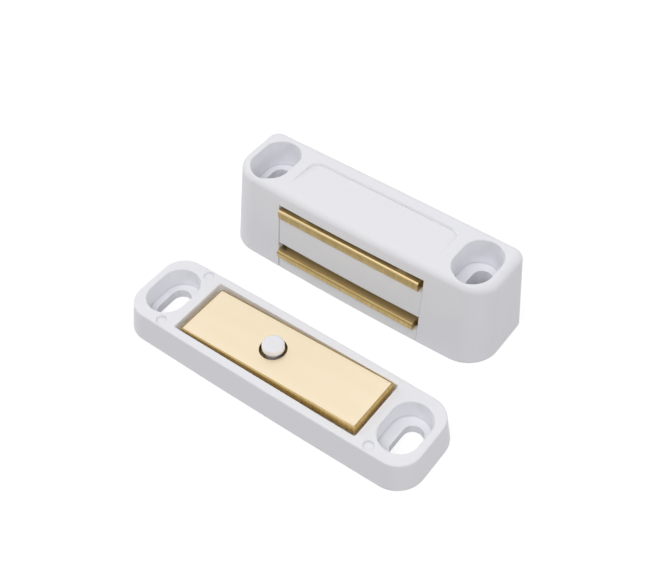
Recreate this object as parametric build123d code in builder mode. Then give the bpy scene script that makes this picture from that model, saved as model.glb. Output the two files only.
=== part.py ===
from build123d import *

import os
from math import cos, radians, sin, tan

# A magnetic catch in two units that stand side by side: the catch, whose drafted housing holds a
# floating magnet between two pole plates, and the strike, a holder with a loose steel plate.
# Millimetres. X runs along both units, Y from the strike to the back of the catch, Z up. The origin
# is the middle of the pair's footprint, on the surface that both bases screw down on.

os.makedirs("parts", exist_ok=True)

# How the two units stand
unit_gap = 12.55
catch_shift = -1.8

# Screw slots, for the same wood screws in both units
screw_slot_width = 4.4
head_slot_width = 8.4
slot_end_ledge = 1.9
screw_slot_shift = 0.5
slot_mouth_rounding = 0.25

# Catch housing
catch_length = 64.5
catch_depth = 18.6
catch_height = 20.8
catch_lean = 1.55
catch_top_shift = 0.4
catch_front_bow = 0.67
catch_back_bow = 0.15
catch_front_radius = 7.2
catch_back_radius = 2.6
catch_top_rounding = 1.9
catch_wall = 1.6
catch_slot_inset = 7.8
catch_slot_front_land = 2.9
catch_slot_back_land = 3.7
catch_head_depth = 6.5

# Shallow panel in the top of the housing, which runs out towards the front
panel_end_land = 2.4
panel_front_land = 4.3
panel_back_land = 4.82
panel_wall_angle = 82
panel_wall_depth = 0.6
panel_mouth_rounding = 0.12
panel_mouth_steps = 2
panel_corner = 2.2

# Window in the front of the housing, and the chamber behind it with its rails
chamber_end_wall = 1.3
window_lip = 1.3
window_headroom = 1.15
rail_inset = 6.95
rail_width = 1.6
rail_height = 3.2
rail_sink = 0.4

# Pole plates
pole_gap_left = 0.13
pole_gap_right = 0.97
pole_back_gap = 0.67
pole_edge_round = 0.5
shoulder_end_gap = 0.35
shoulder_front_gap = 0.1
upper_pole_thickness = 2.4
upper_pole_tip = 0.9
lower_pole_thickness = 2.0
lower_pole_tip = -0.2
lower_pole_base = 2.95

# Magnet and its carrier
magnet_corner = 0.5
magnet_setback = 4.0
magnet_clearance = 0.1
carrier_end_gap = 1.95
carrier_back_gap = 1.57
carrier_end_wall = 2.4
carrier_back_wall = 0.9
carrier_face_thickness = 1.5
lower_pole_gap = 2.0
carrier_gap_left = 0.2
carrier_gap_right = 0.06

# Base cover
cover_thickness = 1.6
cover_clearance = 0.12
cover_strip_gap_left = 0.2
cover_strip_gap_right = 0.06
slide_clearance = 0.05

# Strike holder
strike_length = 70.0
strike_depth = 19.7
strike_height = 6.75
strike_lean = 0.95
strike_bow = 0.3
strike_radius = 6.0
strike_top_rounding = 0.35
strike_slot_inset = 6.7
strike_slot_land = 3.7
strike_head_depth = 4.65
recess_end_land = 2.2
recess_rim = 2.78
recess_depth = 2.6
recess_corner = 0.4
recess_mouth_rounding = 0.2

# Ejector marks beside the recess
mark_diameter = 2.25
mark_depth = 0.4
mark_inset_x = 9.9
mark_inset_y = 2.6

# Peg that holds the strike plate
peg_shift = -2.5
peg_stem_diameter = 3.2
peg_head_overhang = 0.65
peg_head_thickness = 1.35
peg_head_rounding = 0.5
peg_head_clearance = 1.45

# Strike plate
plate_gap_left = 1.0
plate_gap_right = 0.5
plate_side_gap = 0.67
plate_thickness = 2.0
plate_corner = 0.35
plate_edge_round = 0.3
plate_tilt = 2.27
plate_rest_clearance = 0.03
plate_hole_gap = 0.35
plate_well_gap = 0.45
plate_well_depth = 1.2
plate_well_round = 0.15

# Where the two units stand
pair_depth = strike_depth + unit_gap + catch_depth
catch_base = Plane((catch_shift, pair_depth / 2 - catch_depth, 0))
catch_front = Plane(catch_base.origin, x_dir=(1, 0, 0), z_dir=(0, -1, 0))
strike_base = Plane((0, strike_depth / 2 - pair_depth / 2, 0))
catch_top = Plane(catch_base.from_local_coords((catch_top_shift, 0, catch_height)))
strike_top = strike_base.offset(strike_height)

# The catch from its ends to its middle
catch_slot_spacing = catch_length - 2 * catch_slot_inset
head_slot_gap = catch_slot_spacing - head_slot_width
panel_length = head_slot_gap - 2 * panel_end_land
chamber_length = head_slot_gap - 2 * chamber_end_wall
window_length = chamber_length - 2 * window_lip
window_left = -window_length / 2
window_right = window_length / 2
rail_spacing = chamber_length - 2 * rail_inset
shoulder_length = chamber_length - 2 * shoulder_end_gap
pole_left = window_left + pole_gap_left
pole_right = window_right - pole_gap_right
carrier_length = chamber_length - 2 * carrier_end_gap
magnet_length = carrier_length - 2 * (carrier_end_wall + magnet_clearance)

# The catch from its base to its top
lean_rate = catch_lean / catch_height
chamber_top = catch_height - catch_wall
lower_pole_top = lower_pole_base + lower_pole_thickness
upper_pole_top = chamber_top - rail_height - slide_clearance
upper_pole_base = upper_pole_top - upper_pole_thickness
magnet_height = upper_pole_base - lower_pole_top
carrier_face_base = lower_pole_top + lower_pole_gap
window_top = upper_pole_top + window_headroom

# The catch from its front to its back
chamber_front = catch_wall + lean_rate * chamber_top
chamber_back = catch_depth - chamber_front
catch_slot_back = catch_depth - catch_slot_back_land
panel_back = catch_depth - panel_back_land
pole_run = chamber_back - pole_back_gap - upper_pole_tip
carrier_back = chamber_back - carrier_back_gap
magnet_back = carrier_back - carrier_back_wall - magnet_clearance

# The strike
strike_slot_spacing = strike_length - 2 * strike_slot_inset
strike_slot_reach = strike_depth / 2 - strike_slot_land
recess_length = strike_slot_spacing - head_slot_width - 2 * recess_end_land
recess_width = strike_depth - 2 * recess_rim
recess_floor = strike_height - recess_depth
peg_head_diameter = peg_stem_diameter + 2 * peg_head_overhang
plate_length = recess_length - plate_gap_left - plate_gap_right
plate_width = recess_width - 2 * plate_side_gap
plate_shift = (plate_gap_left - plate_gap_right) / 2
plate_hole_diameter = peg_stem_diameter + 2 * plate_hole_gap
plate_well_diameter = peg_head_diameter + 2 * plate_well_gap

# The plate lies tilted over the peg: its left end rests on the recess floor, and its right end
# stands above the rim.
plate_left_reach = plate_length / 2 + peg_shift - plate_shift
tilt = radians(plate_tilt)
plate_base_at_peg = recess_floor + plate_rest_clearance + plate_left_reach * sin(tilt)
peg_head_base = plate_base_at_peg + (plate_thickness - plate_well_depth) / cos(tilt)
peg_head_base += peg_head_clearance + peg_head_diameter / 2 * tan(tilt)
peg_top = peg_head_base + peg_head_thickness


def footprint(plane, length, depth, front_bow, back_bow, front_radius, back_radius):
    """Outline with its middle on the plane's origin, whose long sides bow outwards."""
    end = length / 2
    front_end = front_bow - depth / 2
    back_end = depth / 2 - back_bow
    with BuildSketch(plane) as outline:
        with BuildLine():
            ThreePointArc((-end, front_end), (0, -depth / 2), (end, front_end))
            Line((end, front_end), (end, back_end))
            ThreePointArc((end, back_end), (0, depth / 2), (-end, back_end))
            Line((-end, back_end), (-end, front_end))
        make_face()
        fillet(outline.vertices().group_by(Axis.Y)[0], front_radius)
        fillet(outline.vertices().group_by(Axis.Y)[-1], back_radius)
    return outline.sketch


def leaning_outline(inset, height):
    """Outline of the catch at one height, drawn in by the lean of its sides."""
    shift = catch_top_shift * height / catch_height
    middle = catch_base.from_local_coords((shift, catch_depth / 2, height))
    return footprint(
        Plane(middle),
        catch_length - 2 * inset,
        catch_depth - 2 * inset,
        catch_front_bow,
        catch_back_bow,
        catch_front_radius - inset,
        catch_back_radius,
    )


def block(plane, left, right, front, back, low, high):
    """Rectangular solid given by its faces, in the plane's own directions."""
    with BuildSketch(plane.offset(low)) as face:
        with Locations(((left + right) / 2, (front + back) / 2)):
            Rectangle(right - left, back - front)
    return extrude(face.sketch, amount=high - low, mode=Mode.PRIVATE)


def screw_slots(top, spacing, front, back, head_depth, full_depth):
    """Cut two slots across the unit under way, each with a wider slot for its screw's head."""
    head_length = back - front
    for gap, length, width, depth in (
        (
            spacing + 2 * screw_slot_shift,
            head_length - 2 * slot_end_ledge,
            screw_slot_width,
            full_depth,
        ),
        (spacing, head_length, head_slot_width, head_depth),
    ):
        with BuildSketch(top) as mouths:
            with Locations((0, (front + back) / 2)):
                with GridLocations(gap, 0, 2, 1):
                    SlotOverall(length, width, rotation=90)
        extrude(mouths.sketch, amount=-depth, mode=Mode.SUBTRACT)
    middle_height = top.origin.Z - head_depth / 2
    mouth_edges = edges(Select.LAST).filter_by(lambda edge: edge.center().Z > middle_height)
    fillet(mouth_edges.filter_by(Axis.Z, reverse=True), slot_mouth_rounding)


# Outside of the catch before anything is cut from it
with BuildPart() as catch_body:
    loft([leaning_outline(0, 0), leaning_outline(catch_lean, catch_height)], ruled=True)

# Wedge with a rounded mouth that makes the shallow panel: deepest at the back, nothing at the front
wall_turn = radians(panel_wall_angle)
wall_top = [(0, 0)]
for step in range(1, panel_mouth_steps + 1):
    turn = wall_turn * step / panel_mouth_steps
    wall_top.append((panel_mouth_rounding * sin(turn), panel_mouth_rounding * (1 - cos(turn))))
wall_inset, wall_drop = wall_top[-1]
panel_depth = wall_drop + panel_wall_depth
wall_foot = (wall_inset + panel_wall_depth / tan(wall_turn), panel_depth)
with BuildPart() as panel_cutter:
    for inset, drop in (*wall_top, wall_foot):
        back = panel_back - inset
        with BuildSketch(catch_top.offset(-drop)) as level:
            with Locations((0, (panel_front_land + back) / 2)):
                Rectangle(panel_length - 2 * inset, back - panel_front_land)
            fillet(level.vertices().group_by(Axis.Y)[-1], panel_corner - inset)
    loft(ruled=True)
    with BuildSketch(Plane(catch_top.origin, x_dir=(0, 1, 0), z_dir=(1, 0, 0))):
        with BuildLine():
            Polyline(
                (panel_front_land, 0),
                (panel_back, 0),
                (panel_back, -panel_depth),
                close=True,
            )
        make_face()
    extrude(amount=panel_length / 2, both=True, mode=Mode.INTERSECT)

# Housing
with BuildPart() as housing:
    add(catch_body.part)
    fillet(housing.faces().sort_by(Axis.Z)[-1].edges(), catch_top_rounding)
    with BuildSketch(catch_base):
        with Locations((0, catch_depth / 2)):
            Rectangle(chamber_length, catch_depth - 2 * catch_wall)
    with BuildSketch(catch_base.offset(chamber_top)):
        with Locations((0, catch_depth / 2)):
            Rectangle(chamber_length, chamber_back - chamber_front)
    loft(ruled=True, mode=Mode.SUBTRACT)
    with BuildSketch(catch_front):
        with Locations((0, window_top / 2)):
            Rectangle(window_length, window_top)
    extrude(amount=-catch_depth / 2, mode=Mode.SUBTRACT)
    for side in (-1, 1):
        rail_x = side * rail_spacing / 2
        add(
            block(
                catch_base,
                rail_x - rail_width / 2,
                rail_x + rail_width / 2,
                chamber_front - rail_sink,
                chamber_back + rail_sink,
                chamber_top - rail_height,
                chamber_top + rail_sink,
            )
        )
    screw_slots(
        catch_top,
        catch_slot_spacing,
        catch_slot_front_land,
        catch_slot_back,
        catch_head_depth,
        catch_height,
    )
    add(panel_cutter.part, mode=Mode.SUBTRACT)
housing.part.label = "housing"
export_step(housing.part, "parts/housing.step")

# Base cover: closes the chamber, fills the window below the lower pole, and carries the magnet
with BuildPart() as base_cover:
    add(
        block(
            catch_base,
            -chamber_length / 2 + cover_clearance,
            chamber_length / 2 - cover_clearance,
            catch_wall + cover_clearance,
            catch_depth - catch_wall - cover_clearance - lean_rate * cover_thickness,
            0,
            cover_thickness,
        )
    )
    add(
        block(
            catch_base,
            window_left + cover_strip_gap_left,
            window_right - cover_strip_gap_right,
            0,
            catch_wall + cover_clearance,
            0,
            lower_pole_base - slide_clearance,
        )
    )
    for side in (-1, 1):
        rail_x = side * rail_spacing / 2
        add(
            block(
                catch_base,
                rail_x - rail_width / 2,
                rail_x + rail_width / 2,
                catch_wall,
                pole_run,
                0,
                lower_pole_base - slide_clearance,
            )
        )
    add(catch_body.part, mode=Mode.INTERSECT)
base_cover.part.label = "base_cover"
export_step(base_cover.part, "parts/base_cover.step")


def pole_plate(low, high, tip):
    """Steel plate whose tongue comes out of the window, with shoulders that stop behind the wall."""
    shoulder_front = catch_wall + lean_rate * high + shoulder_front_gap
    with BuildPart() as plate:
        add(block(catch_base, pole_left, pole_right, tip, shoulder_front, low, high))
        add(
            block(
                catch_base,
                -shoulder_length / 2,
                shoulder_length / 2,
                shoulder_front,
                tip + pole_run,
                low,
                high,
            )
        )
        front = plate.faces().sort_by(Axis.Y)[0]
        fillet(front.edges().filter_by(Axis.X), pole_edge_round)
    return plate


# Pole plates
upper_pole = pole_plate(upper_pole_base, upper_pole_top, upper_pole_tip)
upper_pole.part.label = "upper_pole_plate"
export_step(upper_pole.part, "parts/upper_pole_plate.step")

lower_pole = pole_plate(lower_pole_base, lower_pole_top, lower_pole_tip)
lower_pole.part.label = "lower_pole_plate"
export_step(lower_pole.part, "parts/lower_pole_plate.step")

# Magnet
with BuildPart() as magnet:
    with BuildSketch(catch_base.offset(lower_pole_top)):
        with Locations((0, (magnet_setback + magnet_back) / 2)):
            RectangleRounded(magnet_length, magnet_back - magnet_setback, magnet_corner)
    extrude(amount=magnet_height)
magnet.part.label = "magnet"
export_step(magnet.part, "parts/magnet.step")

# Magnet carrier: a frame round the magnet, whose face fills the window between the poles
with BuildPart() as magnet_carrier:
    add(
        block(
            catch_base,
            -carrier_length / 2,
            carrier_length / 2,
            magnet_setback - carrier_face_thickness,
            carrier_back,
            lower_pole_top,
            upper_pole_base,
        )
    )
    add(
        block(
            catch_base,
            window_left + carrier_gap_left,
            window_right - carrier_gap_right,
            0,
            magnet_setback - carrier_face_thickness,
            carrier_face_base,
            upper_pole_base,
        )
    )
    add(
        block(
            catch_base,
            -magnet_length / 2 - magnet_clearance,
            magnet_length / 2 + magnet_clearance,
            magnet_setback - magnet_clearance,
            magnet_back + magnet_clearance,
            lower_pole_top,
            upper_pole_base,
        ),
        mode=Mode.SUBTRACT,
    )
    add(catch_body.part, mode=Mode.INTERSECT)
magnet_carrier.part.label = "magnet_carrier"
export_step(magnet_carrier.part, "parts/magnet_carrier.step")

# Strike holder
with BuildPart() as strike_holder:
    loft(
        [
            footprint(
                strike_base.offset(level),
                strike_length - 2 * inset,
                strike_depth - 2 * inset,
                strike_bow,
                strike_bow,
                strike_radius - inset,
                strike_radius - inset,
            )
            for level, inset in ((0, 0), (strike_height, strike_lean))
        ],
        ruled=True,
    )
    fillet(strike_holder.faces().sort_by(Axis.Z)[-1].edges(), strike_top_rounding)
    with BuildSketch(strike_top):
        RectangleRounded(recess_length, recess_width, recess_corner)
    extrude(amount=-recess_depth, mode=Mode.SUBTRACT)
    fillet(edges(Select.LAST).group_by(Axis.Z)[-1], recess_mouth_rounding)
    screw_slots(
        strike_top,
        strike_slot_spacing,
        -strike_slot_reach,
        strike_slot_reach,
        strike_head_depth,
        strike_height,
    )
    mark_x = strike_length / 2 - mark_inset_x
    mark_y = strike_depth / 2 - mark_inset_y
    with BuildSketch(strike_top):
        with Locations((-mark_x, mark_y), (-mark_x, -mark_y), (mark_x, -mark_y)):
            Circle(mark_diameter / 2)
    extrude(amount=-mark_depth, mode=Mode.SUBTRACT)
    with BuildSketch(strike_base.offset(recess_floor)):
        with Locations((peg_shift, 0)):
            Circle(peg_stem_diameter / 2)
    extrude(amount=peg_top - recess_floor)
    with BuildSketch(strike_base.offset(peg_head_base)):
        with Locations((peg_shift, 0)):
            Circle(peg_head_diameter / 2)
    extrude(amount=peg_top - peg_head_base)
    fillet(strike_holder.faces().sort_by(Axis.Z)[-1].edges(), peg_head_rounding)
strike_holder.part.label = "strike_holder"
export_step(strike_holder.part, "parts/strike_holder.step")

# Strike plate: tilted about the peg, its left end down on the recess floor
plate_centre = plate_shift - peg_shift
plate_face = Plane(
    strike_base.from_local_coords((peg_shift, 0, plate_base_at_peg)),
    x_dir=(cos(tilt), 0, sin(tilt)),
    z_dir=(-sin(tilt), 0, cos(tilt)),
)
with BuildPart() as strike_plate:
    with BuildSketch(plate_face):
        with Locations((plate_centre, 0)):
            RectangleRounded(plate_length, plate_width, plate_corner)
        Circle(plate_hole_diameter / 2, mode=Mode.SUBTRACT)
    extrude(amount=plate_thickness)
    plate_top = strike_plate.faces().filter_by(plate_face).sort_by(Axis.Z)[-1]
    fillet(plate_top.outer_wire().edges(), plate_edge_round)
    with BuildSketch(plate_face.offset(plate_thickness)):
        Circle(plate_well_diameter / 2)
    extrude(amount=-plate_well_depth, mode=Mode.SUBTRACT)
    plate_top = strike_plate.faces().filter_by(plate_face).sort_by(Axis.Z)[-1]
    fillet(plate_top.inner_wires()[0].edges(), plate_well_round)
strike_plate.part.label = "strike_plate"
export_step(strike_plate.part, "parts/strike_plate.step")
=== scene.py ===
"""Looks of a magnetic cupboard catch: a moulded housing with two steel poles, and its strike.

Everything is in metres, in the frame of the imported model: X runs along both units, Y from the strike
to the back of the catch, and Z up from the plane that both units are screwed to.
"""

import logging
import math
from collections.abc import Iterator
from dataclasses import dataclass, field
from enum import Enum, IntEnum

import bmesh
import bpy
from mathutils import Matrix, Vector


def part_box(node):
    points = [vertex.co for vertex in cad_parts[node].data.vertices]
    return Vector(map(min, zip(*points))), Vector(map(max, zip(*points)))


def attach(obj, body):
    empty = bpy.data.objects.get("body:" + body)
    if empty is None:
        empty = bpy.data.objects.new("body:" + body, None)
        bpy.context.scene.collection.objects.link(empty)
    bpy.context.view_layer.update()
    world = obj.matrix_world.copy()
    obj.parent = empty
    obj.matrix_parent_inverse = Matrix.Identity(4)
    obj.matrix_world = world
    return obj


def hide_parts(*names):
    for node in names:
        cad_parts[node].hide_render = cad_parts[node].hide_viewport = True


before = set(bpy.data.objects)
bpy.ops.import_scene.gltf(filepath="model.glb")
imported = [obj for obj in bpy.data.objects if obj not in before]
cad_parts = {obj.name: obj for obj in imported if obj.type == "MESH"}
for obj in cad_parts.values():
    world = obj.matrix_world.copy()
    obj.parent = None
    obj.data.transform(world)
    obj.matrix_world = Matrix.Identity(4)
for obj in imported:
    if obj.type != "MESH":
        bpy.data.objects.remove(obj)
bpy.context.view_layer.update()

log = logging.getLogger("magnetic_catch")

MM = 0.001
# The attribute of the poles that runs from 0 at the tip to 1 where the painted shade at the root is full
ROOT_SHARE = "root_share"


def hex_colour(code: str) -> tuple[float, float, float, float]:
    """Turns an sRGB colour into the linear one that shaders take.

    Args:
        code: The colour as "#RRGGBB".

    Returns:
        Red, green, blue and an alpha of 1, all linear.
    """
    channels = [int(code[i : i + 2], 16) / 255 for i in (1, 3, 5)]
    linear = [c / 12.92 if c <= 0.04045 else ((c + 0.055) / 1.055) ** 2.4 for c in channels]
    return (*linear, 1.0)


def add_node(tree: bpy.types.NodeTree, kind: str, inputs: dict | None = None, **settings) -> bpy.types.Node:
    """Adds one node with its settings, its input values and its links.

    Args:
        tree: The tree that the node joins.
        kind: The node's type name.
        inputs: Socket name or index, to a plain value or to the output socket that feeds it.
        settings: The node's own properties.

    Returns:
        The new node.
    """
    made = tree.nodes.new(kind)
    for name, value in settings.items():
        setattr(made, name, value)
    for key, value in (inputs or {}).items():
        socket = made.inputs[key]
        if isinstance(value, bpy.types.NodeSocket):
            tree.links.new(value, socket)
        else:
            socket.default_value = value
    return made


def new_material(name: str) -> tuple[bpy.types.Material, bpy.types.NodeTree]:
    """Makes an empty node material.

    Args:
        name: The material's name.

    Returns:
        The material, and its node tree with nothing in it.
    """
    material = bpy.data.materials.new(name)
    material.use_nodes = True
    material.node_tree.nodes.clear()
    return material, material.node_tree


class Grain(Enum):
    """The way that fine lines run in a metal face."""

    ALONG = (0.04, 1.0, 1.0)
    UPRIGHT = (1.0, 1.0, 0.12)


@dataclass(frozen=True)
class MouldedAbs:
    """White ABS, injection moulded in a finely sparked steel tool.

    To the eye it is an even satin white: highlights are broad and soft, and only a faint grain and a
    slow change of tone, from the flow in the tool, keep it from looking painted. Painted shade in the
    inner corners, darker where a corner is less open, draws the steps and sunk marks a little darker.
    """

    name: str
    colour: str
    flow_colour: str
    roughness: float = 0.56
    glossier: float = 0.04
    duller: float = 0.05
    ior: float = 1.54
    # Painted shade in the inner corners: its grey, how strongly it darkens, and how far it looks for walls
    corner_shade_colour: str = "#B4B4BE"
    corner_shade_share: float = 0.5
    corner_shade_reach: float = 0.6 * MM
    # How open a corner is where the painted shade is full, and where there is none
    corner_shade_full: float = 0.4
    corner_shade_none: float = 0.9
    # Sparks leave pits of about 0.05 mm, drawn coarser so that they show
    grain: float = 0.28 * MM
    grain_depth: float = 0.004 * MM
    grain_strength: float = 0.5
    flow: float = 14 * MM

    def build(self) -> bpy.types.Material:
        """Builds the material from its sizes and colours."""
        material, tree = new_material(self.name)
        place = add_node(tree, "ShaderNodeTexCoord").outputs["Object"]
        flow = add_node(
            tree,
            "ShaderNodeTexNoise",
            {"Vector": place, "Scale": 1 / self.flow, "Detail": 2.0},
        )
        tone = add_node(
            tree,
            "ShaderNodeMix",
            {0: flow.outputs["Fac"], 6: hex_colour(self.colour), 7: hex_colour(self.flow_colour)},
            data_type="RGBA",
        )
        # Painted shade: the base colour turns grey in the inner corners, by how open each one is
        open_sky = add_node(
            tree,
            "ShaderNodeAmbientOcclusion",
            {"Distance": self.corner_shade_reach},
            samples=8,
            only_local=True,
        )
        shade_amount = add_node(
            tree,
            "ShaderNodeMapRange",
            {
                "Value": open_sky.outputs["AO"],
                "From Min": self.corner_shade_full,
                "From Max": self.corner_shade_none,
                "To Min": self.corner_shade_share,
                "To Max": 0.0,
            },
        )
        shaded_tone = add_node(
            tree,
            "ShaderNodeMix",
            {0: shade_amount.outputs["Result"], 6: tone.outputs[2], 7: hex_colour(self.corner_shade_colour)},
            data_type="RGBA",
        )
        sparks = add_node(
            tree,
            "ShaderNodeTexNoise",
            {"Vector": place, "Scale": 1 / self.grain, "Detail": 3.0},
        )
        satin = add_node(
            tree,
            "ShaderNodeMapRange",
            {
                "Value": sparks.outputs["Fac"],
                "To Min": self.roughness - self.glossier,
                "To Max": self.roughness + self.duller,
            },
        )
        relief = add_node(
            tree,
            "ShaderNodeBump",
            {
                "Height": sparks.outputs["Fac"],
                "Strength": self.grain_strength,
                "Distance": self.grain_depth,
            },
        )
        shader = add_node(
            tree,
            "ShaderNodeBsdfPrincipled",
            {
                "Base Color": shaded_tone.outputs[2],
                "Roughness": satin.outputs["Result"],
                "Normal": relief.outputs["Normal"],
                "IOR": self.ior,
            },
        )
        add_node(tree, "ShaderNodeOutputMaterial", {"Surface": shader.outputs["BSDF"]})
        return material


@dataclass(frozen=True)
class PlatedSteel:
    """Steel plated to a brass colour, over lines that the mill or the shear left in it.

    To the eye the fine lines blur reflections across them, and the plating is mottled where it took
    unevenly. A rolled face is nearly smooth, and a sheared one is coarse and duller. Painted shade
    can darken the plating's colour towards the root of the piece, where the parts beside it shade it.
    """

    name: str
    colour: str
    mottle_colour: str
    roughness: float
    grain: Grain
    # The real lines are about 0.03 mm apart, drawn coarser so that they show
    line_pitch: float
    line_depth: float
    mottle: float
    line_strength: float = 0.6
    roughness_swing: float = 0.08
    # The noise values between which the tone goes from plain to mottled
    mottle_from: float = 0.35
    mottle_full: float = 0.7
    # Painted shade towards the root: how far the colour darkens, and to what
    root_shade: float = 0.0
    root_shade_colour: str = "#45331A"

    def build(self) -> bpy.types.Material:
        """Builds the material from its sizes and colours."""
        material, tree = new_material(self.name)
        place = add_node(tree, "ShaderNodeTexCoord").outputs["Object"]
        stretched = add_node(tree, "ShaderNodeMapping", {"Vector": place, "Scale": self.grain.value})
        lines = add_node(
            tree,
            "ShaderNodeTexNoise",
            {"Vector": stretched.outputs["Vector"], "Scale": 1 / self.line_pitch, "Detail": 3.0},
        )
        patches = add_node(
            tree,
            "ShaderNodeTexNoise",
            {"Vector": stretched.outputs["Vector"], "Scale": 1 / self.mottle, "Detail": 3.0},
        )
        spread = add_node(
            tree,
            "ShaderNodeMapRange",
            {
                "Value": patches.outputs["Fac"],
                "From Min": self.mottle_from,
                "From Max": self.mottle_full,
            },
        )
        tone = add_node(
            tree,
            "ShaderNodeMix",
            {0: spread.outputs["Result"], 6: hex_colour(self.colour), 7: hex_colour(self.mottle_colour)},
            data_type="RGBA",
        )
        # Painted shade: the colour darkens towards the piece's root
        if self.root_shade > 0.0:
            tone = self.root_shaded(tree, tone)
        dulled = add_node(
            tree,
            "ShaderNodeMapRange",
            {
                "Value": lines.outputs["Fac"],
                "To Min": self.roughness - self.roughness_swing,
                "To Max": self.roughness + self.roughness_swing,
            },
        )
        relief = add_node(
            tree,
            "ShaderNodeBump",
            {
                "Height": lines.outputs["Fac"],
                "Strength": self.line_strength,
                "Distance": self.line_depth,
            },
        )
        shader = add_node(
            tree,
            "ShaderNodeBsdfPrincipled",
            {
                "Base Color": tone.outputs[2],
                "Metallic": 1.0,
                "Roughness": dulled.outputs["Result"],
                "Normal": relief.outputs["Normal"],
            },
        )
        add_node(tree, "ShaderNodeOutputMaterial", {"Surface": shader.outputs["BSDF"]})
        return material

    def root_shaded(self, tree: bpy.types.NodeTree, tone: bpy.types.Node) -> bpy.types.Node:
        """Darkens the plating's colour from the piece's tip to its root, as painted shade.

        Args:
            tree: The material's tree.
            tone: The node that gives the clean colour at its last output.

        Returns:
            The node that gives the darkened colour, at the same output.
        """
        along = add_node(tree, "ShaderNodeAttribute", attribute_name=ROOT_SHARE)
        root_shade_amount = add_node(
            tree,
            "ShaderNodeMapRange",
            {"Value": along.outputs["Fac"], "To Max": self.root_shade},
        )
        return add_node(
            tree,
            "ShaderNodeMix",
            {0: root_shade_amount.outputs["Result"], 6: tone.outputs[2], 7: hex_colour(self.root_shade_colour)},
            data_type="RGBA",
        )


@dataclass(frozen=True)
class SinteredFerrite:
    """Barium ferrite, pressed and sintered: a dark grey ceramic.

    To the eye its skin is matt, and slightly speckled by its grains.
    """

    name: str = "sintered_ferrite"
    colour: str = "#2B2B2D"
    speck_colour: str = "#3C3C3F"
    roughness: float = 0.7
    speck: float = 0.3 * MM

    def build(self) -> bpy.types.Material:
        """Builds the material from its sizes and colours."""
        material, tree = new_material(self.name)
        place = add_node(tree, "ShaderNodeTexCoord").outputs["Object"]
        specks = add_node(tree, "ShaderNodeTexNoise", {"Vector": place, "Scale": 1 / self.speck})
        tone = add_node(
            tree,
            "ShaderNodeMix",
            {0: specks.outputs["Fac"], 6: hex_colour(self.colour), 7: hex_colour(self.speck_colour)},
            data_type="RGBA",
        )
        shader = add_node(
            tree,
            "ShaderNodeBsdfPrincipled",
            {"Base Color": tone.outputs[2], "Roughness": self.roughness},
        )
        add_node(tree, "ShaderNodeOutputMaterial", {"Surface": shader.outputs["BSDF"]})
        return material


# The housing and the strike holder: a cool, even white.
HOUSING_WHITE = MouldedAbs("moulded_white_abs", "#F5F5FA", "#F7F7FB")
# The small inner mouldings: a little greyer and glossier.
INSERT_WHITE = MouldedAbs("moulded_insert_abs", "#F2F2F5", "#F4F4F6", roughness=0.5)
# The ends and fronts of the poles: upright lines from the shear, in a dull gold.
SHEARED_EDGE = PlatedSteel(
    "sheared_plated_steel",
    colour="#BFA977",
    mottle_colour="#AB945D",
    roughness=0.42,
    grain=Grain.UPRIGHT,
    line_pitch=0.3 * MM,
    line_depth=0.012 * MM,
    mottle=0.5 * MM,
)
# The sides of the strike plate: punched, and brighter than a sheared pole as a painted reflection of the
# pale recess wall round them.
LIT_PUNCHED_EDGE = PlatedSteel(
    "lit_punched_plated_steel",
    colour="#DCC287",
    mottle_colour="#C9AD6C",
    roughness=0.5,
    grain=Grain.UPRIGHT,
    line_pitch=0.3 * MM,
    line_depth=0.01 * MM,
    mottle=0.5 * MM,
)
# The upper pole's rounded edge: a lighter gold, a painted highlight, so one line of light runs along it.
LIT_POLE_EDGE = PlatedSteel(
    "lit_edge_plated_steel",
    colour="#CDB98F",
    mottle_colour="#BFA97B",
    roughness=0.36,
    grain=Grain.ALONG,
    line_pitch=0.3 * MM,
    line_depth=0.006 * MM,
    mottle=0.4 * MM,
)
# Rounded edges rubbed dull: a darker gold with no clear line of light. On the lower pole this darker gold
# is painted shade, beside the lighter copy on the upper pole.
WORN_AND_SHADED_EDGE = PlatedSteel(
    "worn_and_shaded_plated_steel",
    colour="#AE986B",
    mottle_colour="#98814F",
    roughness=0.5,
    grain=Grain.ALONG,
    line_pitch=0.2 * MM,
    line_depth=0.012 * MM,
    mottle=0.3 * MM,
)
# The flat faces of the poles: pale gold at the tip, darkened brown towards the root as painted shade.
DRAWN_FACE = PlatedSteel(
    "drawn_plated_steel",
    colour="#F0DAA8",
    mottle_colour="#E0C68E",
    roughness=0.36,
    grain=Grain.ALONG,
    line_pitch=0.2 * MM,
    line_depth=0.008 * MM,
    mottle=0.5 * MM,
    root_shade=0.92,
)
# The well under the peg's head: a dark olive brown, painted shade where the head shades the well.
SHADED_WELL = PlatedSteel(
    "shaded_well_plated_steel",
    colour="#7D6C45",
    mottle_colour="#665634",
    roughness=0.5,
    grain=Grain.UPRIGHT,
    line_pitch=0.3 * MM,
    line_depth=0.01 * MM,
    mottle=0.5 * MM,
)
# The broad face of the strike plate: nearly smooth, so it mirrors the light as a creamy gold.
ROLLED_FACE = PlatedSteel(
    "rolled_plated_steel",
    colour="#F1E1C5",
    mottle_colour="#EEDEC0",
    roughness=0.34,
    grain=Grain.ALONG,
    line_pitch=0.16 * MM,
    line_depth=0.003 * MM,
    mottle=4 * MM,
    roughness_swing=0.05,
)
# The magnet, hidden in its carrier: dull and almost black.
FERRITE = SinteredFerrite()


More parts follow.
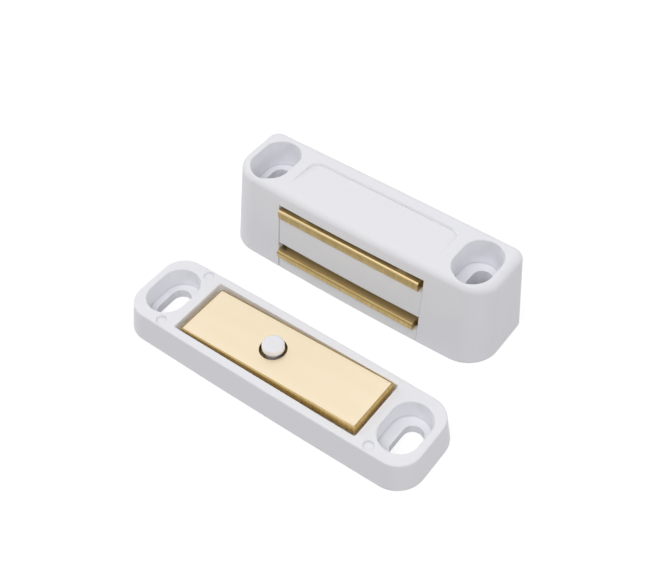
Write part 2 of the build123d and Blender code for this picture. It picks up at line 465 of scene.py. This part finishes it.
class Finishes:
    """The finishes of the object, each made once and shared by the pieces that have it."""

    def __init__(self) -> None:
        """Builds no material yet."""
        self._made: dict[str, bpy.types.Material] = {}

    def of(self, finish: MouldedAbs | PlatedSteel | SinteredFerrite) -> bpy.types.Material:
        """Gives a finish's material, and builds it the first time.

        Args:
            finish: The finish asked for.

        Returns:
            Its material.
        """
        if finish.name not in self._made:
            self._made[finish.name] = finish.build()
        return self._made[finish.name]


def bake(obj: bpy.types.Object) -> None:
    """Turns what an object's modifiers make into its plain mesh, and removes them.

    Args:
        obj: The object, already linked to the scene.
    """
    graph = bpy.context.evaluated_depsgraph_get()
    baked = bpy.data.meshes.new_from_object(obj.evaluated_get(graph), depsgraph=graph)
    baked.name = obj.name
    obj.modifiers.clear()
    obj.data = baked


def link(name: str, mesh: bpy.types.Mesh) -> bpy.types.Object:
    """Puts a mesh in the scene as an object at the origin.

    Args:
        name: The object's name.
        mesh: Its mesh, in the frame's own coordinates.

    Returns:
        The object.
    """
    obj = bpy.data.objects.new(name, mesh)
    bpy.context.scene.collection.objects.link(obj)
    return obj


class NodeGroup:
    """A Geometry Nodes tree with named inputs, under construction."""

    def __init__(self, name: str, takes_mesh: bool) -> None:
        """Starts the tree.

        Args:
            name: The tree's name.
            takes_mesh: Whether it works on the mesh of the object that it is put on.
        """
        self.tree = bpy.data.node_groups.new(name, "GeometryNodeTree")
        self.takes_mesh = takes_mesh
        if takes_mesh:
            self.tree.interface.new_socket("Mesh", in_out="INPUT", socket_type="NodeSocketGeometry")
        self.tree.interface.new_socket("Mesh", in_out="OUTPUT", socket_type="NodeSocketGeometry")
        self.tree.is_modifier = True

    def add_input(self, name: str, socket_type: str = "NodeSocketFloat") -> None:
        """Adds a named input to the tree.

        Args:
            name: The input's name.
            socket_type: The type of its socket.
        """
        self.tree.interface.new_socket(name, in_out="INPUT", socket_type=socket_type)

    def add(self, kind: str, inputs: dict | None = None, **settings) -> bpy.types.Node:
        """Adds a node to the tree, as add_node does."""
        return add_node(self.tree, kind, inputs, **settings)

    def smooth(self, geometry: bpy.types.NodeSocket, crease: bpy.types.NodeSocket) -> bpy.types.NodeSocket:
        """Shades a mesh smooth, but for its sharp edges.

        Args:
            geometry: The socket that holds the mesh.
            crease: The angle from which an edge is sharp.

        Returns:
            The socket that holds the shaded mesh.
        """
        bend = self.add("GeometryNodeInputMeshEdgeAngle")
        gentle = self.add(
            "FunctionNodeCompare",
            {0: bend.outputs["Unsigned Angle"], 1: crease},
            data_type="FLOAT",
            operation="LESS_THAN",
        )
        for domain, shaded in (("FACE", True), ("EDGE", gentle.outputs["Result"])):
            node = self.add(
                "GeometryNodeSetShadeSmooth",
                {"Geometry": geometry, "Shade Smooth": shaded},
                domain=domain,
            )
            geometry = node.outputs["Geometry"]
        return geometry

    def close(
        self,
        geometry: bpy.types.NodeSocket,
        dress: list[tuple[bpy.types.NodeSocket | bool, bpy.types.NodeSocket]],
    ) -> None:
        """Ends the tree with real geometry and its materials.

        Args:
            geometry: The socket that holds what the tree makes.
            dress: Which faces get a material, and the socket that holds it, in order.
        """
        last = self.add("GeometryNodeRealizeInstances", {"Geometry": geometry})
        for chosen, material in dress:
            last = self.add(
                "GeometryNodeSetMaterial",
                {"Geometry": last.outputs["Geometry"], "Selection": chosen, "Material": material},
            )
        self.add("NodeGroupOutput", {"Mesh": last.outputs["Geometry"]})

    def put_on(self, obj: bpy.types.Object, values: dict[str, object]) -> None:
        """Adds the tree to an object as a modifier and sets its inputs.

        Args:
            obj: The object.
            values: The value of each named input.
        """
        modifier = obj.modifiers.new(self.tree.name, "NODES")
        modifier.node_group = self.tree
        for item in self.tree.interface.items_tree:
            if item.item_type == "SOCKET" and item.in_out == "INPUT" and item.name in values:
                modifier[item.identifier] = values[item.name]


@dataclass
class MouldedSkin:
    """The moulded pieces: each takes its node's own form, as one closed skin with softened edges."""

    finishes: Finishes
    weld: float = 0.002 * MM
    crease: float = math.radians(28)
    # Triangles that lie closer than this to one plane are joined to one face
    flat_angle: float = math.radians(0.4)
    edge_break: float = 0.07 * MM
    edge_steps: int = 2
    normal_weight: int = 90
    group: NodeGroup = field(init=False)

    def __post_init__(self) -> None:
        """Builds the tree that closes a node's loose triangles into one skin."""
        self.group = NodeGroup("closed_skin", takes_mesh=True)
        for name in ("Weld", "Crease"):
            self.group.add_input(name)
        self.group.add_input("Material", "NodeSocketMaterial")
        given = self.group.add("NodeGroupInput")
        closed = self.group.add(
            "GeometryNodeMergeByDistance",
            {"Geometry": given.outputs["Mesh"], "Distance": given.outputs["Weld"]},
        )
        smooth = self.group.smooth(closed.outputs["Geometry"], given.outputs["Crease"])
        self.group.close(smooth, [(True, given.outputs["Material"])])

    def piece(self, node: str, name: str, finish: MouldedAbs) -> bpy.types.Object:
        """Makes one moulded piece from its node.

        Args:
            node: The node that gives the form.
            name: The piece's name.
            finish: The piece's finish.

        Returns:
            The piece.
        """
        piece = link(name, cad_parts[node].data.copy())
        self.group.put_on(
            piece,
            {"Weld": self.weld, "Crease": self.crease, "Material": self.finishes.of(finish)},
        )
        bake(piece)
        flatten = piece.modifiers.new("join_flats", "DECIMATE")
        flatten.decimate_type = "DISSOLVE"
        flatten.angle_limit = self.flat_angle
        rounding = piece.modifiers.new("edge_break", "BEVEL")
        rounding.width = self.edge_break
        rounding.segments = self.edge_steps
        rounding.limit_method = "ANGLE"
        rounding.angle_limit = self.crease
        rounding.use_clamp_overlap = True
        normals = piece.modifiers.new("face_normals", "WEIGHTED_NORMAL")
        normals.mode = "FACE_AREA"
        normals.weight = self.normal_weight
        bake(piece)
        return piece


@dataclass
class PolePlates:
    """The two steel plates that carry the magnet's field to the front, made by one rule.

    Each is a tongue that comes out of the window, with its front edges rounded by the shear, and a
    wider part with shoulders that stays behind the housing's front wall. Its flat faces are as drawn,
    with painted shade towards the root, its ends and front as sheared, and its rounded upper edge has a
    finish of its own: a painted highlight on the upper plate and painted shade on the lower one.
    """

    finishes: Finishes
    edge_round: float = 0.5 * MM
    round_steps: int = 6
    slices: int = 60
    crease: float = math.radians(30)
    # How upright a face's normal is, from which it is a rounded edge, and from which a drawn face
    rounded_from: float = 0.05
    drawn_from: float = 0.995
    # How far from the tip the painted shade at the root becomes full
    root_shade_reach: float = 3.4 * MM
    # How far left of the tongue a corner of the node belongs to the shoulder
    shoulder_search: float = 1.0 * MM
    group: NodeGroup = field(init=False)

    def __post_init__(self) -> None:
        """Builds the tree that makes a plate from its places along and across."""
        self.group = NodeGroup("pole_plate", takes_mesh=False)
        for name in (
            "Tongue Left",
            "Tongue Right",
            "Shoulder Left",
            "Shoulder Right",
            "Tip",
            "Shoulder Front",
            "Back",
            "Base",
            "Top",
            "Edge Round",
            "Crease",
            "Rounded From",
            "Drawn From",
            "Root Shade Reach",
        ):
            self.group.add_input(name)
        for name in ("Round Steps", "Slices"):
            self.group.add_input(name, "NodeSocketInt")
        for name in ("Sheared", "Rounded", "Drawn"):
            self.group.add_input(name, "NodeSocketMaterial")
        given = self.group.add("NodeGroupInput").outputs
        tongue = self.bar(given, ("Tongue Left", "Tongue Right"), ("Tip", "Back"), given["Edge Round"])
        wide = self.bar(given, ("Shoulder Left", "Shoulder Right"), ("Shoulder Front", "Back"), 0.0)
        whole = self.group.add(
            "GeometryNodeMeshBoolean",
            {"Mesh 2": tongue},
            operation="UNION",
            solver="EXACT",
        )
        self.group.tree.links.new(wide, whole.inputs["Mesh 2"])
        shaded = self.group.smooth(whole.outputs["Mesh"], given["Crease"])
        place = self.group.add("GeometryNodeInputPosition")
        parts = self.group.add("ShaderNodeSeparateXYZ", {"Vector": place.outputs["Position"]})
        # Painted shade: each point's share from the tip to where the shade at the root is full
        share = self.group.add(
            "ShaderNodeMapRange",
            {"Value": parts.outputs["Y"], "From Min": given["Tip"], "From Max": self.reach_end(given)},
            clamp=False,
        )
        marked = self.group.add(
            "GeometryNodeStoreNamedAttribute",
            {"Geometry": shaded, "Name": ROOT_SHARE, "Value": share.outputs["Result"]},
            data_type="FLOAT",
            domain="POINT",
        )
        self.group.close(
            marked.outputs["Geometry"],
            [
                (True, given["Sheared"]),
                (self.steeper(given["Rounded From"], False), given["Rounded"]),
                (self.steeper(given["Drawn From"], True), given["Drawn"]),
            ],
        )

    def reach_end(self, given: bpy.types.NodeOutputs) -> bpy.types.NodeSocket:
        """Finds where the painted shade at the root is full.

        Args:
            given: The tree's inputs.

        Returns:
            The socket with that place along Y.
        """
        end = self.group.add(
            "ShaderNodeMath",
            {0: given["Tip"], 1: given["Root Shade Reach"]},
            operation="ADD",
        )
        return end.outputs[0]

    def steeper(self, limit: bpy.types.NodeSocket, either_way: bool) -> bpy.types.NodeSocket:
        """Picks the faces whose normal is more upright than a limit.

        Args:
            limit: The least height of the normal.
            either_way: Whether a face that looks down counts too.

        Returns:
            The socket that says which faces they are.
        """
        normal = self.group.add("GeometryNodeInputNormal")
        parts = self.group.add("ShaderNodeSeparateXYZ", {"Vector": normal.outputs["Normal"]})
        upright = parts.outputs["Z"]
        if either_way:
            upright = self.group.add("ShaderNodeMath", {0: upright}, operation="ABSOLUTE").outputs[0]
        beyond = self.group.add(
            "FunctionNodeCompare",
            {0: upright, 1: limit},
            data_type="FLOAT",
            operation="GREATER_THAN",
        )
        return beyond.outputs["Result"]

    def halfway(self, low: bpy.types.NodeSocket, high: bpy.types.NodeSocket) -> bpy.types.NodeSocket:
        """Gives the mean of two inputs."""
        mix = self.group.add("ShaderNodeMix", {0: 0.5, 2: low, 3: high}, data_type="FLOAT")
        return mix.outputs[0]

    def bar(
        self,
        given: bpy.types.NodeOutputs,
        ends: tuple[str, str],
        sides: tuple[str, str],
        edge_round: bpy.types.NodeSocket | float,
    ) -> bpy.types.NodeSocket:
        """Sweeps the plate's section from one end to the other.

        Args:
            given: The tree's inputs.
            ends: The names of the inputs for the left and the right end.
            sides: The names of the inputs for the front and the back.
            edge_round: The rounding of the two front edges.

        Returns:
            The socket with the closed bar.
        """
        front, back = given[sides[0]], given[sides[1]]
        depth = self.group.add("ShaderNodeMath", {0: back, 1: front}, operation="SUBTRACT")
        rise = self.group.add(
            "ShaderNodeMath",
            {0: given["Top"], 1: given["Base"]},
            operation="SUBTRACT",
        )
        section = self.group.add(
            "GeometryNodeCurvePrimitiveQuadrilateral",
            {"Width": depth.outputs[0], "Height": rise.outputs[0]},
            mode="RECTANGLE",
        )
        place = self.group.add("GeometryNodeInputPosition")
        across = self.group.add("ShaderNodeSeparateXYZ", {"Vector": place.outputs["Position"]})
        at_front = self.group.add(
            "FunctionNodeCompare",
            {0: across.outputs["X"], 1: 0.0},
            data_type="FLOAT",
            operation="GREATER_THAN",
        )
        radius = self.group.add(
            "ShaderNodeMath",
            {0: at_front.outputs["Result"], 1: edge_round},
            operation="MULTIPLY",
        )
        rounded = self.group.add(
            "GeometryNodeFilletCurve",
            {
                "Curve": section.outputs["Curve"],
                "Radius": radius.outputs[0],
                "Limit Radius": True,
                "Count": given["Round Steps"],
            },
            mode="POLY",
        )
        middle = self.halfway(front, back)
        height = self.halfway(given["Base"], given["Top"])
        left, right = (
            self.group.add("ShaderNodeCombineXYZ", {"X": given[end], "Y": middle, "Z": height})
            for end in ends
        )
        line = self.group.add(
            "GeometryNodeCurvePrimitiveLine",
            {"Start": left.outputs["Vector"], "End": right.outputs["Vector"]},
            mode="POINTS",
        )
        path = self.group.add(
            "GeometryNodeResampleCurve",
            {"Curve": line.outputs["Curve"], "Count": given["Slices"]},
            mode="COUNT",
        )
        swept = self.group.add(
            "GeometryNodeCurveToMesh",
            {
                "Curve": path.outputs["Curve"],
                "Profile Curve": rounded.outputs["Curve"],
                "Fill Caps": True,
            },
        )
        return swept.outputs["Mesh"]

    def piece(self, node: str, name: str, edge: PlatedSteel) -> bpy.types.Object:
        """Makes one plate from the places of its node's corners.

        Args:
            node: The node that the plate stands for.
            name: The plate's name.
            edge: The finish of its rounded upper edge.

        Returns:
            The plate.
        """
        corners = [vertex.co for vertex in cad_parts[node].data.vertices]
        low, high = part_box(node)
        tongue = [corner.x for corner in corners if corner.y < low.y + self.edge_round]
        shoulder = [corner.y for corner in corners if corner.x < min(tongue) - self.shoulder_search]
        plate = link(name, bpy.data.meshes.new(name))
        self.group.put_on(
            plate,
            {
                "Tongue Left": min(tongue),
                "Tongue Right": max(tongue),
                "Shoulder Left": low.x,
                "Shoulder Right": high.x,
                "Tip": low.y,
                "Shoulder Front": min(shoulder),
                "Back": high.y,
                "Base": low.z,
                "Top": high.z,
                "Edge Round": self.edge_round,
                "Crease": self.crease,
                "Rounded From": self.rounded_from,
                "Drawn From": self.drawn_from,
                "Root Shade Reach": self.root_shade_reach,
                "Round Steps": self.round_steps,
                "Slices": self.slices,
                "Sheared": self.finishes.of(SHEARED_EDGE),
                "Rounded": self.finishes.of(edge),
                "Drawn": self.finishes.of(DRAWN_FACE),
            },
        )
        bake(plate)
        return plate


class PlateFace(IntEnum):
    """The kinds of face on the strike plate, in the order of its materials."""

    BROAD = 0
    ROLLED_OVER = 1
    SIDE = 2
    WELL = 3


@dataclass
class StrikePlate:
    """The loose steel plate: blanked from rolled strip, with a well for the peg's head."""

    finishes: Finishes
    length: float = 42.3 * MM
    width: float = 12.8 * MM
    thickness: float = 2.0 * MM
    tilt: float = math.radians(2.27)
    corner: float = 0.35 * MM
    roll_width: float = 0.45 * MM
    roll_depth: float = 0.25 * MM
    roll_steps: int = 7
    foot_break: float = 0.06 * MM
    hole_radius: float = 1.95 * MM
    well_radius: float = 2.7 * MM
    well_depth: float = 1.2 * MM
    well_round: float = 0.15 * MM
    well_along: float = -2.75 * MM
    # How upright a face's normal is, from which it is the broad face, and from which its rolled edge
    face_from: float = 0.985
    roll_from: float = 0.35
    sharp_from: float = math.radians(40)
    # The shallow dish that pressing the well left round it
    press_width: float = 2.4 * MM
    press_depth: float = 0.05 * MM
    press_falloff: float = 2.0
    corner_steps: int = 8
    edge_step: float = 0.7 * MM
    top_rings: int = 14

    def outline(self) -> list[Vector]:
        """Gives the blank's outline, anticlockwise, with round corners.

        Returns:
            Its points, in the plate's own plane.
        """
        half_length = self.length / 2 - self.corner
        half_width = self.width / 2 - self.corner
        points: list[Vector] = []
        for turn, (x_side, y_side, onward, run) in enumerate(
            (
                (1, 1, Vector((-1, 0)), 2 * half_length),
                (-1, 1, Vector((0, -1)), 2 * half_width),
                (-1, -1, Vector((1, 0)), 2 * half_length),
                (1, -1, Vector((0, 1)), 2 * half_width),
            )
        ):
            centre = Vector((x_side * half_length, y_side * half_width))
            for step in range(self.corner_steps + 1):
                angle = math.radians(90 * (turn + step / self.corner_steps))
                points.append(centre + self.corner * Vector((math.cos(angle), math.sin(angle))))
            count = int(run / self.edge_step)
            start = points[-1]
            points.extend(start + onward * run * i / count for i in range(1, count))
        return points

    def sections(self) -> Iterator[tuple[float, float, float]]:
        """Walks the plate's section from its foot, over the top and down through the hole.

        Yields:
            How far the ring lies between the outline (0) and the well (1), how far in from that line
            it is, and its height over the plate's underside.
        """
        top = self.thickness
        foot = self.foot_break
        yield 0.0, foot, 0.0
        yield 0.0, 0.0, foot
        for step in range(self.roll_steps + 1):
            angle = math.radians(90) * step / self.roll_steps
            yield (
                0.0,
                self.roll_width * (1 - math.cos(angle)),
                top - self.roll_depth * (1 - math.sin(angle)),
            )
        for step in range(1, self.top_rings):
            yield step / self.top_rings, self.roll_width * (1 - step / self.top_rings), top
        for step in range(self.roll_steps + 1):
            angle = math.radians(90) * step / self.roll_steps
            yield (
                1.0,
                -self.well_round * (1 - math.sin(angle)),
                top - self.well_round * (1 - math.cos(angle)),
            )

    def rings(self) -> Iterator[list[Vector]]:
        """Lays the section round the plate, one ring after the other.

        Yields:
            The points of a ring, in the plate's own plane, with its underside at height 0.
        """
        outline = self.outline()
        middle = Vector((self.well_along, 0.0))
        rays = [(point - middle).normalized() for point in outline]
        inward = []
        for i in range(len(outline)):
            across = outline[(i + 1) % len(outline)] - outline[i - 1]
            inward.append(Vector((-across.y, across.x)).normalized())
        for share, inset, height in self.sections():
            ring = []
            for point, ray, inner in zip(outline, rays, inward):
                if share == 0.0:
                    place = point + inner * inset
                elif share < 1.0:
                    reach = (point + inner * inset - middle).length
                    mouth = self.well_radius + self.well_round
                    place = middle + ray * (reach + (mouth - reach) * share)
                else:
                    place = middle + ray * (self.well_radius - inset)
                ring.append(Vector((*place, height - self.pressed(place, middle, share))))
            yield ring
        floor = self.thickness - self.well_depth
        for radius, height in (
            (self.well_radius, floor),
            (self.hole_radius, floor),
            (self.hole_radius, 0.0),
        ):
            yield [Vector((*(middle + ray * radius), height)) for ray in rays]

    def mesh(self) -> bpy.types.Mesh:
        """Builds the plate's closed mesh in its own plane.

        Returns:
            The mesh, with its underside at height 0.
        """
        shape = bmesh.new()
        rows = [[shape.verts.new(point) for point in ring] for ring in self.rings()]
        count = len(rows[0])
        for lower, upper in zip(rows, rows[1:] + rows[:1]):
            for i in range(count):
                j = (i + 1) % count
                shape.faces.new((lower[i], lower[j], upper[j], upper[i]))
        bmesh.ops.recalc_face_normals(shape, faces=shape.faces)
        mesh = bpy.data.meshes.new("strike_plate_steel")
        shape.to_mesh(mesh)
        shape.free()
        return mesh

    def pressed(self, place: Vector, middle: Vector, share: float) -> float:
        """Gives how far pressing the well drew the face down around it.

        Args:
            place: A point of the face.
            middle: The well's middle.
            share: How far the point's ring lies between the outline and the well.

        Returns:
            The drop at that point.
        """
        if share <= 0.0:
            return 0.0
        away = ((place - middle).length - self.well_radius) / self.press_width
        return self.press_depth * math.exp(-max(away, 0.0) ** 2 * self.press_falloff)

    def piece(self) -> bpy.types.Object:
        """Makes the plate where its node lies, and dresses it.

        Returns:
            The plate.
        """
        plate = link("strike_plate_steel", self.mesh())
        low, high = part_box("strike_plate")
        centre = (low + high) / 2
        turned = Matrix.Rotation(-self.tilt, 4, "Y")
        for finish in (ROLLED_FACE, WORN_AND_SHADED_EDGE, LIT_PUNCHED_EDGE, SHADED_WELL):
            plate.data.materials.append(self.finishes.of(finish))
        plate.data.transform(Matrix.Translation((0, 0, -self.thickness / 2)))
        plate.data.transform(Matrix.Translation(centre) @ turned)
        up = turned.to_3x3() @ Vector((0, 0, 1))
        axis = centre + turned.to_3x3() @ Vector((self.well_along, 0, 0))
        well_reach = self.well_radius + self.well_round / 2
        for face in plate.data.polygons:
            steep = abs(face.normal.dot(up))
            # The well's faces take a dark olive brown, painted shade under the peg's head
            if (face.center - axis).xy.length < well_reach:
                kind = PlateFace.WELL
            elif steep > self.face_from:
                kind = PlateFace.BROAD
            elif steep > self.roll_from:
                kind = PlateFace.ROLLED_OVER
            else:
                kind = PlateFace.SIDE
            face.material_index = kind
            face.use_smooth = True
        plate.data.set_sharp_from_angle(angle=self.sharp_from)
        return plate


@dataclass(frozen=True)
class LightPanel:
    """A square light panel that faces the object: its middle, its side and its radiance, 1 for white."""

    name: str
    place: tuple[float, float, float]
    size: float
    radiance: float

    def hang(self) -> None:
        """Hangs the panel."""
        light = bpy.data.lights.new(self.name, "AREA")
        light.shape = "SQUARE"
        light.size = self.size
        light.energy = self.radiance * math.pi * self.size * self.size
        lamp = bpy.data.objects.new(self.name, light)
        lamp.location = self.place
        lamp.rotation_mode = "QUATERNION"
        lamp.rotation_quaternion = Vector(self.place).to_track_quat("Z", "Y")
        bpy.context.scene.collection.objects.link(lamp)


@dataclass
class Studio:
    """Floor, light and camera: a pale sweep, lit from above, both sides, the front and behind.

    The floor has one colour and no glow for the light that bounces off it, and another colour with a
    glow where the camera or a reflection sees it, so that it shows white and keeps its shadow.
    """

    floor_size: float = 3.0
    floor_drop: float = 0.05 * MM
    floor_colour: str = "#B8B8B8"
    floor_shown: str = "#AAAAAA"
    floor_glow: float = 0.72
    floor_roughness: float = 0.9
    sky_light: float = 0.3
    panels: tuple[LightPanel, ...] = (
        LightPanel("overhead_panel", (-0.06, -0.22, 0.54), 0.4, 2.1),
        LightPanel("left_panel", (-0.75, -0.05, 0.35), 0.3, 4.7),
        LightPanel("right_panel", (0.75, 0.1, 0.35), 0.3, 3.3),
        LightPanel("front_fill", (0.3, -0.4, 0.57), 0.3, 2.9),
        LightPanel("lit_backdrop", (0.0, 0.9, 0.4), 0.8, 0.9),
    )
    azimuth: float = math.radians(36.666)
    elevation: float = math.radians(48.603)
    roll: float = math.radians(-0.365)
    distance: float = 233.1 * MM
    aim: tuple[float, float, float] = (-5.34 * MM, 7.475 * MM, 0.0)
    focal_pixels: float = 1109.72
    image_width: int = 665
    sensor: float = 36.0
    near_clip: float = 10 * MM

    @staticmethod
    def seen(tree: bpy.types.NodeTree) -> bpy.types.NodeSocket:
        """Tells the rays that show a surface from those that only light others.

        Args:
            tree: The tree that asks.

        Returns:
            The socket that is 1 for camera, glossy and transmission rays.
        """
        rays = add_node(tree, "ShaderNodeLightPath").outputs
        shown = rays["Is Camera Ray"]
        for ray in ("Is Glossy Ray", "Is Transmission Ray"):
            either = add_node(tree, "ShaderNodeMath", {0: shown, 1: rays[ray]}, operation="MAXIMUM")
            shown = either.outputs[0]
        return shown

    def floor(self) -> bpy.types.Object:
        """Lays the floor, which shows white with the object's shadow on it.

        Returns:
            The floor.
        """
        half = self.floor_size / 2
        mesh = bpy.data.meshes.new("floor")
        corners = ((-half, -half), (half, -half), (half, half), (-half, half))
        mesh.from_pydata([(x, y, -self.floor_drop) for x, y in corners], [], [(0, 1, 2, 3)])
        floor = link("floor", mesh)
        material, tree = new_material("white_sweep")
        seen = self.seen(tree)
        tone = add_node(
            tree,
            "ShaderNodeMix",
            {0: seen, 6: hex_colour(self.floor_colour), 7: hex_colour(self.floor_shown)},
            data_type="RGBA",
        )
        glow = add_node(
            tree,
            "ShaderNodeMath",
            {0: seen, 1: self.floor_glow},
            operation="MULTIPLY",
        )
        shader = add_node(
            tree,
            "ShaderNodeBsdfPrincipled",
            {
                "Base Color": tone.outputs[2],
                "Roughness": self.floor_roughness,
                "Specular IOR Level": 0.0,
                "Emission Color": (1.0, 1.0, 1.0, 1.0),
                "Emission Strength": glow.outputs[0],
            },
        )
        add_node(tree, "ShaderNodeOutputMaterial", {"Surface": shader.outputs["BSDF"]})
        mesh.materials.append(material)
        return floor

    def sky(self) -> None:
        """Sets the even light all round, white where it is seen or mirrored."""
        world = bpy.data.worlds.new("white_surround")
        world.use_nodes = True
        tree = world.node_tree
        tree.nodes.clear()
        strength = add_node(
            tree,
            "ShaderNodeMapRange",
            {"Value": self.seen(tree), "To Min": self.sky_light, "To Max": 1.0},
        )
        shader = add_node(
            tree,
            "ShaderNodeBackground",
            {"Color": (1.0, 1.0, 1.0, 1.0), "Strength": strength.outputs["Result"]},
        )
        add_node(tree, "ShaderNodeOutputWorld", {"Surface": shader.outputs["Background"]})
        bpy.context.scene.world = world

    def camera(self) -> bpy.types.Object:
        """Sets the camera at the angle that the object was photographed from.

        Returns:
            The camera.
        """
        flat = math.cos(self.elevation)
        back = Vector(
            (
                math.sin(self.azimuth) * flat,
                -math.cos(self.azimuth) * flat,
                math.sin(self.elevation),
            )
        )
        right = Vector((math.cos(self.azimuth), math.sin(self.azimuth), 0.0))
        up = back.cross(right)
        cos_roll, sin_roll = math.cos(self.roll), math.sin(self.roll)
        side = right * cos_roll + up * sin_roll
        top = up * cos_roll - right * sin_roll
        data = bpy.data.cameras.new("camera")
        data.sensor_width = self.sensor
        data.lens = self.focal_pixels / self.image_width * self.sensor
        data.clip_start = self.near_clip
        camera = bpy.data.objects.new("camera", data)
        place = Vector(self.aim) + back * self.distance
        turned = Matrix((side, top, back)).transposed().to_4x4()
        camera.matrix_world = Matrix.Translation(place) @ turned
        bpy.context.scene.collection.objects.link(camera)
        bpy.context.scene.camera = camera
        return camera

    def build(self) -> None:
        """Builds the floor, the lights and the camera."""
        bpy.context.scene.view_settings.view_transform = "Standard"
        self.floor()
        self.sky()
        for panel in self.panels:
            panel.hang()
        self.camera()


def main() -> None:
    """Builds every piece in order and reports it."""
    logging.basicConfig(level=logging.INFO, format="%(name)s: %(message)s")
    finishes = Finishes()
    skin = MouldedSkin(finishes)
    for node, name, body, finish in (
        ("housing", "catch_housing_shell", "units", HOUSING_WHITE),
        ("strike_holder", "strike_holder_shell", "units", HOUSING_WHITE),
        ("base_cover", "base_cover_shell", "units", INSERT_WHITE),
        ("magnet_carrier", "magnet_carrier_shell", "magnet_pack", INSERT_WHITE),
    ):
        piece = skin.piece(node, name, finish)
        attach(piece, body)
        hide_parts(node)
        log.info("%s: %d faces", piece.name, len(piece.data.polygons))
    poles = PolePlates(finishes)
    # The upper pole's edge gets a painted highlight, and the lower one's gets painted shade
    for node, name, edge in (
        ("upper_pole_plate", "upper_pole_steel", LIT_POLE_EDGE),
        ("lower_pole_plate", "lower_pole_steel", WORN_AND_SHADED_EDGE),
    ):
        pole = poles.piece(node, name, edge)
        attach(pole, "magnet_pack")
        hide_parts(node)
        log.info("%s: %d faces", pole.name, len(pole.data.polygons))
    plate = StrikePlate(finishes).piece()
    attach(plate, "strike_plate")
    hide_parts("strike_plate")
    log.info("%s: %d faces", plate.name, len(plate.data.polygons))
    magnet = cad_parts["magnet"]
    magnet.data.materials.clear()
    magnet.data.materials.append(finishes.of(FERRITE))
    log.info("magnet dressed")
    Studio().build()


if __name__ == "__main__":
    main()
